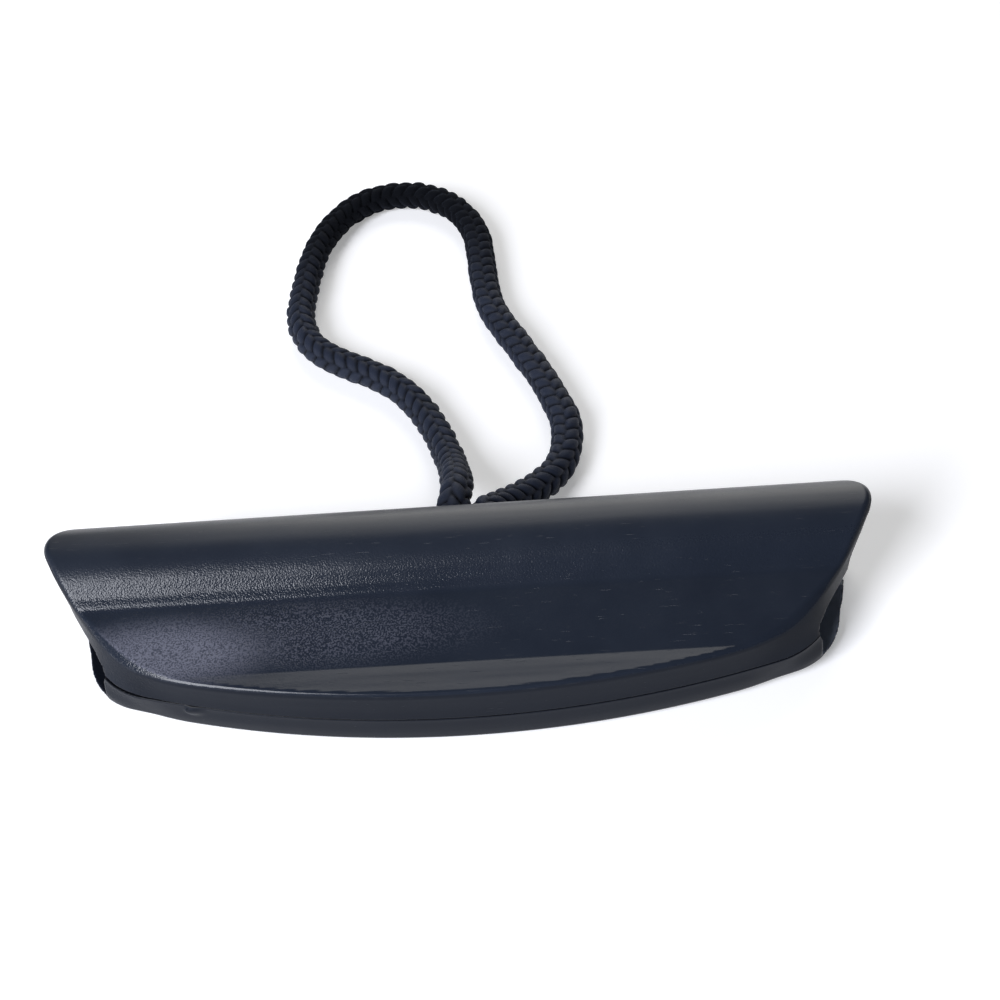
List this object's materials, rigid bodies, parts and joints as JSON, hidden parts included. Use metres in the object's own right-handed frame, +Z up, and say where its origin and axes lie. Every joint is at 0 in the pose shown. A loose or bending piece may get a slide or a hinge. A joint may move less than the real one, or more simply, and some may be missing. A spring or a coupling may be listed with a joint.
{
  "type": "carry handle",
  "caption": "Hollow two-shell carry grip, round bar with a curved flat plate, on a braided cord loop held inside it by stopper knots.",
  "frame": {"origin": "middle of the grip's footprint on the surface that it lies on, the cord left out", "axes": "+X along the grip towards its right end, +Y from the curved front edge towards the cord loop, +Z up from the surface"},
  "size_m": [0.137, 0.1535, 0.02],
  "materials": {
    "grip_plastic": "satin moulded plastic with a fine eroded grain, near-black navy",
    "braided_cord": "solid braided polyester cord, near-black navy, matt",
    "screw_steel": "plain stainless steel"
  },
  "bodies": {
    "grip": {"upper_shell": "grip_plastic", "lower_shell": "grip_plastic", "left_screw": "screw_steel", "right_screw": "screw_steel", "left_knot": "braided_cord", "right_knot": "braided_cord", "cord_legs": "braided_cord"},
    "loop": {"cord_loop": "braided_cord"}
  },
  "joints": [
    {"name": "loop_swing", "type": "hinge", "parent": "grip", "child": "loop", "pos_m": [0.0015, 0.02328, 0.01196], "axis": [1, 0, 0], "range_deg": [-40, 110]}
  ]
}
